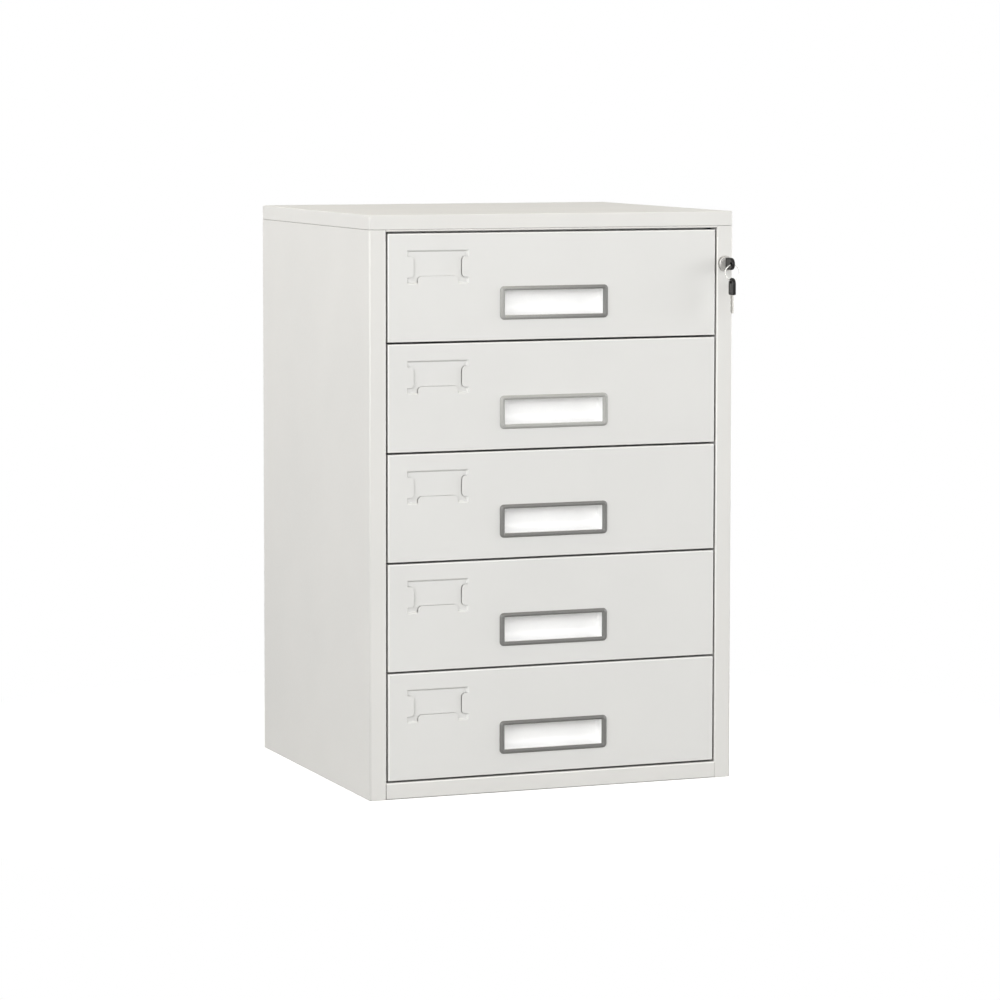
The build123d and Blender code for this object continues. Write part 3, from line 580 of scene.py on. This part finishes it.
def make_materials():
    """The materials by their names, apart from the frames' greys."""
    front_low, front_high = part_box(f"drawer_{DRAWERS}_front")
    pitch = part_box("drawer_1_front")[0].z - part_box("drawer_2_front")[0].z
    fronts = (front_high.x, front_low.z, front_high.z, pitch)
    opening = (
        front_high.x + SIDE_GAP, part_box("base_panel")[1].z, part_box("top_front_rail")[0].z, NO_REPEAT,
    )
    made = {
        "body_paint": powder_coat("body_paint", opening),
        "drawer_paint": powder_coat("drawer_paint", fronts),
        "zinc_steel": zinc_plate("zinc_steel"),
        "slide_steel": drawn_steel("slide_steel"),
    }
    for name, settings in PLATES.items():
        made[name] = bright_plate(name, *settings)
    for name, settings in PLASTICS.items():
        made[name] = moulded_plastic(name, *settings)
    return made


# The carried-over nodes

def dress_nodes(materials):
    """Gives each node its slot's material and softens the edges of its sheet."""
    for node in NODES.values():
        slot = node.data.materials[0].name
        node.material_slots[0].link = "OBJECT"
        node.material_slots[0].material = materials[slot]
        weld = node.modifiers.new("weld", "WELD")
        weld.merge_threshold = WELD_REACH
        planes = node.modifiers.new("planes", "DECIMATE")
        planes.decimate_type = "DISSOLVE"
        planes.angle_limit = math.radians(PLANE_ANGLE)
        soften = node.modifiers.new("soften", "BEVEL")
        soften.width = SOFT_EDGE
        soften.segments = SOFT_SEGMENTS
        soften.limit_method = "ANGLE"
        soften.angle_limit = math.radians(SOFT_ANGLE)
        soften.use_clamp_overlap = True
        soften.harden_normals = True


# Handles

def bezel(number, material):
    """The grey frame: a bevelled ring with round corners, whose neck passes the drawer's sheet."""
    low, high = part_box(f"drawer_{number}_handle_bezel")
    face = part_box(f"drawer_{number}_front")[0].y
    proud = face - low.y
    section = [(0.0, face)]
    section += [(inset, face - rise * proud) for inset, rise in BEZEL_SECTION]
    section += [(1.0, high.y)]
    loops = []
    for inset, y in section:
        side, edge = BEZEL_SIDE * inset, BEZEL_EDGE * inset
        radius = BEZEL_CORNER + (BEZEL_INNER_CORNER - BEZEL_CORNER) * inset
        outline = rounded_outline(low.x + side, high.x - side, low.z + edge, high.z - edge, radius)
        loops.append(at_depth(outline, y))
    side, edge = BEZEL_SIDE - BEZEL_NECK, BEZEL_EDGE - BEZEL_NECK
    neck = rounded_outline(
        low.x + side, high.x - side, low.z + edge, high.z - edge, BEZEL_NECK_CORNER,
    )
    loops += [at_depth(neck, high.y), at_depth(neck, face)]
    bm = bmesh.new()
    skin(bm, loops, closed_across=True)
    finish_mesh(
        f"drawer_{number}_bezel", bm, material, f"drawer_{number}",
        [f"drawer_{number}_handle_bezel"],
    )


def cup_limits(depth, left, right, low, high):
    """The cup's inside at one depth behind its mouth: left, right, low and high."""
    def round_in(radius):
        into = max(depth - (CUP_DEPTH - radius), 0)
        return radius - math.sqrt(max(radius ** 2 - into ** 2, 0))

    end = round_in(CUP_END_RADIUS)
    above = CUP_UNDERCUT if depth > CUP_WALL else 0
    return left + end, right - end, low + round_in(CUP_SCOOP), high + above - round_in(CUP_UPPER_RADIUS)


def finger_cup(number, material):
    """The white cup: swept up from its lower edge, undercut at the top, with rounded ends."""
    bezel_low, bezel_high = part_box(f"drawer_{number}_handle_bezel")
    low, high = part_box(f"drawer_{number}_handle_cup")
    mouth = low.y
    limits = (
        bezel_low.x + BEZEL_SIDE, bezel_high.x - BEZEL_SIDE,
        bezel_low.z + BEZEL_EDGE, bezel_high.z - BEZEL_EDGE,
    )
    depths = [CUP_DEPTH * math.sin(math.pi / 2 * k / CUP_STEPS) for k in range(CUP_STEPS, -1, -1)]
    depths = [d for d in depths if abs(d - CUP_WALL) > CUP_CLEAR_STEP]
    lip = [CUP_WALL + CUP_UNDERCUT_STEP, CUP_WALL]
    depths = [d for d in depths if d > CUP_WALL] + lip + [d for d in depths if d < CUP_WALL]
    outside = [d for d in depths[::-1] if d > 2 * CUP_WALL]

    def loop(grow, depth, y):
        left, right, bottom, top = cup_limits(depth, *limits)
        radius = BEZEL_INNER_CORNER + CUP_CORNER_GROWTH * depth / CUP_DEPTH + grow
        return at_depth(rounded_outline(left - grow, right + grow, bottom - grow, top + grow, radius), y)

    flange = rounded_outline(low.x, high.x, low.z, high.z, CUP_FLANGE_CORNER)
    loops = [loop(0, depth, mouth + depth) for depth in depths]
    loops += [at_depth(flange, mouth), at_depth(flange, mouth + CUP_WALL)]
    loops.append(loop(CUP_WALL, 2 * CUP_WALL, mouth + CUP_WALL))
    loops += [loop(CUP_WALL, depth, mouth + depth + CUP_WALL) for depth in outside]
    bm = bmesh.new()
    skin(bm, loops)
    finish_mesh(
        f"drawer_{number}_finger_cup", bm, material, f"drawer_{number}",
        [f"drawer_{number}_handle_cup"],
    )


# Lock

def lock_head(material):
    """The barrel: a round head with a rolled rim, and the grooved body behind it."""
    low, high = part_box("lock_barrel")
    axis = ((low.x + high.x) / 2, (low.z + high.z) / 2)
    front, face = low.y, low.y + HEAD_DEPTH
    section = [
        (RECESS_RADIUS, front + LOCK_CHAMFER),
        (RECESS_RADIUS + LOCK_CHAMFER, front),
        *arc((HEAD_RADIUS - HEAD_RIM, front + HEAD_RIM), HEAD_RIM, -90, 0, HEAD_RIM_STEPS),
        (HEAD_RADIUS, face - BARREL_EDGE),
        (HEAD_RADIUS - HEAD_REAR_EDGE, face),
        (BARREL_RADIUS, face),
        (BARREL_RADIUS, face + SHEET),
        (GROOVE_RADIUS, face + SHEET),
        (GROOVE_RADIUS, face + 2 * SHEET),
        (BARREL_RADIUS, face + 2 * SHEET),
        (BARREL_RADIUS, high.y - BARREL_EDGE),
        (BARREL_RADIUS - BARREL_EDGE, high.y),
        (BORE_RADIUS, high.y),
        (BORE_RADIUS, front + RECESS_DEPTH),
        (RECESS_RADIUS, front + RECESS_DEPTH),
    ]
    angles = round_angles(TURNED_STEPS, 0)
    bm = bmesh.new()
    skin(bm, [at_depth(on_circle(axis, radius, angles), y) for radius, y in section], closed_across=True)
    finish_mesh("lock_head", bm, material, "cabinet", ["lock_barrel"])


def lock_core(material):
    """The turning plug: a shouldered face with the keyway's mouth, and the tang at its rear."""
    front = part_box("lock_plug")[0].y
    barrel_low, barrel_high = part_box("lock_barrel")
    x, z = (barrel_low.x + barrel_high.x) / 2, (barrel_low.z + barrel_high.z) / 2
    # As many points as a rounded outline has
    angles = round_angles(4 * (CORNER_STEPS + 1))

    def block(half_x, half_z, y):
        outline = rounded_outline(x - half_x, x + half_x, z - half_z, z + half_z, PLUG_CORNER)
        return at_depth(outline, y)

    def ring(radius, y):
        return at_depth(on_circle((x, z), radius, angles), y)

    half_x, half_z = KEYWAY
    shoulder, body = RECESS_RADIUS - PLUG_CLEAR, BORE_RADIUS - PLUG_CLEAR
    step = front + RECESS_DEPTH - PLUG_CLEAR
    rear = barrel_high.y + TANG_START
    loops = [
        block(half_x, half_z, front + KEYWAY_DEPTH),
        block(half_x, half_z, front + KEYWAY_MOUTH),
        block(half_x + KEYWAY_FLARE, half_z + KEYWAY_FLARE, front + FACE_DISH),
        ring(shoulder - FACE_RIM[0], front + FACE_DISH),
        ring(shoulder - FACE_RIM[1], front),
        ring(shoulder - LOCK_CHAMFER, front),
        ring(shoulder, front + LOCK_CHAMFER),
        ring(shoulder, step),
        ring(body, step),
        ring(body, rear),
        block(TANG, TANG, rear),
        block(TANG, TANG, front + TANG_DEPTH),
    ]
    bm = bmesh.new()
    skin(bm, loops)
    finish_mesh("lock_core", bm, material, "lock_plug", ["lock_plug"])


# Keys

def bow_outline(inset):
    """The grip's outline, drawn in from its edge: along from the shoulder, and across."""
    half, corner = BOW_HALF - inset, max(BOW_CORNER - inset, BOW_LEAST_CORNER)
    domed, straight, flat = BOW_LENGTH - BOW_HALF, inset + corner, half - corner
    points = arc((domed, 0), half, -90, 90, BOW_DOME_STEPS)
    points += between((domed, half), (straight, half), BOW_STEPS)
    points += arc((straight, flat), corner, 90, 180, BOW_STEPS)
    points += between((inset, flat), (inset, -flat), BOW_STEPS)
    points += arc((straight, -flat), corner, 180, 270, BOW_STEPS)
    points += between((straight, -half), (domed, -half), BOW_STEPS)
    return points


def key_grip(name, node, body, materials, along, across, origin):
    """The moulded bow: a rounded rim, a sunk panel on both faces and the hole for the ring."""
    through = along.cross(across)
    hole_at = BOW_LENGTH - BOW_HOLE_IN
    hole_angles = [math.atan2(v, u - hole_at) for u, v in bow_outline(0)]

    def hole(out):
        return on_circle((hole_at, 0), BOW_HOLE + out, hole_angles)

    def place(points, thick, sunk=0.0):
        loop = []
        for u, v in points:
            share = min(max((hole_at - BOW_HOLE - u) / PANEL_FADE, 0), 1)
            depth = thick - sunk * share * share * (3 - 2 * share)
            loop.append(origin + along * u + across * v + through * depth)
        return loop

    half = [place(hole(out * MM), BOW_THICK - down * MM) for out, down in HOLE_RIM]
    half.append(place(hole(PANEL_FROM_HOLE), BOW_THICK, PANEL_SUNK))
    half.append(place(bow_outline(PANEL_INSET), BOW_THICK, PANEL_SUNK))
    half += [place(bow_outline(inset * MM), BOW_THICK - down * MM) for inset, down in BOW_RIM]
    other = [[p - through * 2 * (p - origin).dot(through) for p in loop] for loop in half[::-1]]
    bm = bmesh.new()
    rings = skin(bm, half + other, closed_across=True)
    panel = len(HOLE_RIM)
    for first in (panel, len(rings) - panel - 2):
        inner = set(rings[first] + rings[first + 1])
        for face in {face for vert in rings[first] for face in vert.link_faces}:
            if all(vert in inner for vert in face.verts):
                face.material_index = 1
    piece = finish_mesh(name, bm, materials["key_plastic"], body, [node])
    piece.data.materials.append(materials["key_panel"])


def key_grips(materials):
    """One grip stands out of the lock, and one hangs from the ring."""
    low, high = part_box("key_bow")
    origin = Vector(((low.x + high.x) / 2, high.y, (low.z + high.z) / 2))
    key_grip("key_grip", "key_bow", "key", materials, Vector((0, -1, 0)), Vector((0, 0, 1)), origin)
    low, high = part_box("spare_key_bow")
    origin = Vector(((low.x + high.x) / 2, (low.y + high.y) / 2, low.z))
    key_grip(
        "spare_key_grip", "spare_key_bow", "spare_key", materials,
        Vector((0, 0, 1)), Vector((0, 1, 0)), origin,
    )


def split_ring(material):
    """A split ring: two turns of flat wire side by side."""
    low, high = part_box("key_ring")
    middle = (low + high) / 2
    wire, rise = RING_WIRE
    radius = (high.x - low.x) / 2 - wire
    loops = []
    for k in range(RING_STEPS + 1):
        share = k / RING_STEPS
        angle = math.radians(RING_START) + RING_TURNS * 2 * math.pi * share
        shift = 1 / (1 + math.exp(-(share - 0.5) * RING_CROSSING))
        y = middle.y + rise * (2 * shift - 1)
        width = wire * min(1, RING_END + RING_TAPER * min(share, 1 - share))
        loop = []
        for a in round_angles(RING_SIDES):
            out = radius + width * math.cos(a)
            x, z = middle.x + out * math.cos(angle), middle.z + out * math.sin(angle)
            loop.append((x, y + rise * RING_FILL * math.sin(a), z))
        loops.append(loop)
    bm = bmesh.new()
    skin(bm, loops)
    finish_mesh("split_ring", bm, material, "key_ring", ["key_ring"])


# Slides and trays

def slide_balls(number, material):
    """The balls in the four retainers of each slide: outer pair to the rear, inner pair to the front."""
    low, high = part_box(f"drawer_{number}_slide_mid")
    middle_y, middle_z = (low.y + high.y) / 2, (low.z + high.z) / 2
    bm = bmesh.new()
    count = int((high.y - middle_y) / BALL_PITCH)
    for side in (-1, 1):
        for upper in (-1, 1):
            for k in range(count):
                step = (k + 0.5) * BALL_PITCH
                for way, (into, off, radius) in ((1, OUTER_RUN), (-1, INNER_RUN)):
                    place = Vector((side * (high.x - into), middle_y + way * step, middle_z + upper * off))
                    at = Matrix.Translation(place)
                    bmesh.ops.create_icosphere(bm, subdivisions=BALL_DETAIL, radius=radius, matrix=at)
    finish_mesh(f"drawer_{number}_slide_balls", bm, material, f"slide_mid_{number}")


def pan_head(bm, place, outward):
    """A domed screw head on a wall that faces along X, with a cross recess."""
    arm, slot = SCREW_HEAD * CROSS_ARM, SCREW_HEAD * CROSS_SLOT
    far, near = slot * CROSS_INNER[0], slot * CROSS_INNER[1]
    quarter = [(arm, -slot), (arm, -slot / 3), (arm, slot / 3), (arm, slot), (far, near), (near, far)]
    cross = []
    for turn in range(4):
        cos, sin = math.cos(math.pi / 2 * turn), math.sin(math.pi / 2 * turn)
        cross += [(u * cos - v * sin, u * sin + v * cos) for u, v in quarter]
    start = quarter.index((arm, slot))
    cross = cross[start:] + cross[:start]
    angles = round_angles(len(cross))
    loops = []
    for share, rise in SCREW_DOME:
        loops.append([(u, v, rise) for u, v in on_circle((0, 0), SCREW_HEAD * share, angles)])
    loops.append([(u, v, 1.0) for u, v in cross])
    loops.append([(u * CROSS_TAPER, v * CROSS_TAPER, CROSS_FLOOR) for u, v in cross])
    skin(bm, [[place + Vector((outward * SCREW_RISE * w, u, v)) for u, v, w in loop] for loop in loops])


def tray_screws(number, material):
    """Pan-head screws inside the tray that hold it to the slides."""
    low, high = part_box(f"drawer_{number}_tray")
    slide_low, slide_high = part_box(f"drawer_{number}_slide_mid")
    z = (slide_low.z + slide_high.z) / 2
    bm = bmesh.new()
    for side in (-1, 1):
        wall = side * (high.x - TRAY_SHEET)
        for share in TRAY_SCREWS:
            y = low.y + (high.y - low.y) * share
            pan_head(bm, Vector((wall, y, z)), -side)
    finish_mesh(f"drawer_{number}_tray_screws", bm, material, f"drawer_{number}")


# Stage, light and camera

def camera():
    """The photograph's view."""
    data = bpy.data.cameras.new("camera")
    data.lens = LENS
    data.sensor_width = SENSOR_WIDTH
    data.shift_x, data.shift_y = LENS_SHIFT
    data.clip_end = VIEW_REACH
    obj = add_object("camera", data)
    yaw, pitch, roll = (math.radians(a) for a in CAMERA_TURN)
    forward = Vector((math.sin(yaw) * math.cos(pitch), math.cos(yaw) * math.cos(pitch), -math.sin(pitch)))
    turn = Matrix.Rotation(roll, 4, forward)
    obj.rotation_mode = "QUATERNION"
    obj.rotation_quaternion = turn.to_quaternion() @ forward.to_track_quat("-Z", "Y")
    obj.location = CAMERA_PLACE
    bpy.context.scene.camera = obj


def background_rays(tree):
    """1 for camera, glossy and transmission rays, which see the white background."""
    path = tree.nodes.new("ShaderNodeLightPath")
    seen = maths(tree, "MAXIMUM", path.outputs["Is Camera Ray"], path.outputs["Is Glossy Ray"])
    return maths(tree, "MAXIMUM", seen, path.outputs["Is Transmission Ray"])


def world(level):
    """White behind the object, and a fill of `level` on it that is dimmer and warmer overhead."""
    scene_world = bpy.data.worlds.new("studio")
    bpy.context.scene.world = scene_world
    scene_world.use_nodes = True
    tree = scene_world.node_tree
    tree.nodes.clear()
    sky = ramp(tree, axes_of(tree, "Generated")["Z"], HORIZON, ZENITH, WHOLE_SPAN)
    fill = add(tree, "ShaderNodeBackground", Strength=level)
    tree.links.new(sky, fill.inputs["Color"])
    white = add(tree, "ShaderNodeBackground", Color=WHITE, Strength=1.0)
    mix = tree.nodes.new("ShaderNodeMixShader")
    out = tree.nodes.new("ShaderNodeOutputWorld")
    tree.links.new(background_rays(tree), mix.inputs[0])
    tree.links.new(fill.outputs[0], mix.inputs[1])
    tree.links.new(white.outputs[0], mix.inputs[2])
    tree.links.new(mix.outputs[0], out.inputs["Surface"])


def distance_from_object(tree):
    """0 where the floor holds the object's shadow, rising to 1 away from it."""
    place = tree.nodes.new("ShaderNodeTexCoord")
    length = add(tree, "ShaderNodeVectorMath", operation="LENGTH")
    tree.links.new(place.outputs["Object"], length.inputs[0])
    return mapped(
        tree, length.outputs["Value"], SHADOW_REACH, 2 * SHADOW_REACH, interpolation_type="SMOOTHSTEP",
    )


def floor():
    """A pale floor that keeps the object's shadow and reads white around it."""
    mesh = bpy.data.meshes.new("floor")
    half = FLOOR_HALF
    corners = [(-half, -half, 0), (half, -half, 0), (half, half, 0), (-half, half, 0)]
    mesh.from_pydata(corners, [], [(0, 1, 2, 3)])
    obj = add_object("floor", mesh)
    material = bpy.data.materials.new("floor")
    material.use_nodes = True
    tree = material.node_tree
    tree.nodes.clear()
    seen = background_rays(tree)
    matt = tree.nodes.new("ShaderNodeBsdfDiffuse")
    tree.links.new(ramp(tree, seen, FLOOR_TONE, FLOOR_SEEN, WHOLE_SPAN), matt.inputs["Color"])
    glow = add(tree, "ShaderNodeEmission", Color=WHITE)
    tree.links.new(maths(tree, "MULTIPLY", seen, FLOOR_GLOW), glow.inputs["Strength"])
    near = tree.nodes.new("ShaderNodeAddShader")
    tree.links.new(matt.outputs[0], near.inputs[0])
    tree.links.new(glow.outputs[0], near.inputs[1])
    white = add(tree, "ShaderNodeEmission", Color=WHITE, Strength=1.0)
    away = tree.nodes.new("ShaderNodeMixShader")
    out = tree.nodes.new("ShaderNodeOutputMaterial")
    tree.links.new(maths(tree, "MULTIPLY", distance_from_object(tree), seen), away.inputs[0])
    tree.links.new(near.outputs[0], away.inputs[1])
    tree.links.new(white.outputs[0], away.inputs[2])
    tree.links.new(away.outputs[0], out.inputs["Surface"])
    mesh.materials.append(material)


def lamp(name, azimuth, elevation, distance, height, size, level, colour):
    """A soft lamp aimed at the axis at a height, which lights a white surface there to `level`."""
    data = bpy.data.lights.new(name, "AREA")
    data.shape = "RECTANGLE"
    data.size, data.size_y = size
    data.energy = level * math.pi ** 2 * distance ** 2
    data.color = colour
    obj = add_object(name, data)
    a, e = math.radians(azimuth), math.radians(elevation)
    out = Vector((math.sin(a) * math.cos(e), -math.cos(a) * math.cos(e), math.sin(e)))
    obj.location = Vector((0, 0, height)) + out * distance
    obj.rotation_mode = "QUATERNION"
    obj.rotation_quaternion = (-out).to_track_quat("-Z", "Y")


bpy.context.scene.view_settings.view_transform = "Standard"
camera()
world(FILL_LEVEL)
floor()
for name, settings in LAMPS.items():
    lamp(name, *settings)

materials = make_materials()
bezel_materials = {number: bezel_plastic(number) for number in range(1, DRAWERS + 1)}
# For the frames' nodes, which the bezels replace
materials["bezel_plastic"] = bezel_materials[1]
dress_nodes(materials)
for number in range(1, DRAWERS + 1):
    bezel(number, bezel_materials[number])
    finger_cup(number, materials["cup_plastic"])
    slide_balls(number, materials["slide_steel"])
    tray_screws(number, materials["zinc_steel"])
lock_head(materials["lock_chrome"])
lock_core(materials["lock_face"])
key_grips(materials)
split_ring(materials["key_steel"])
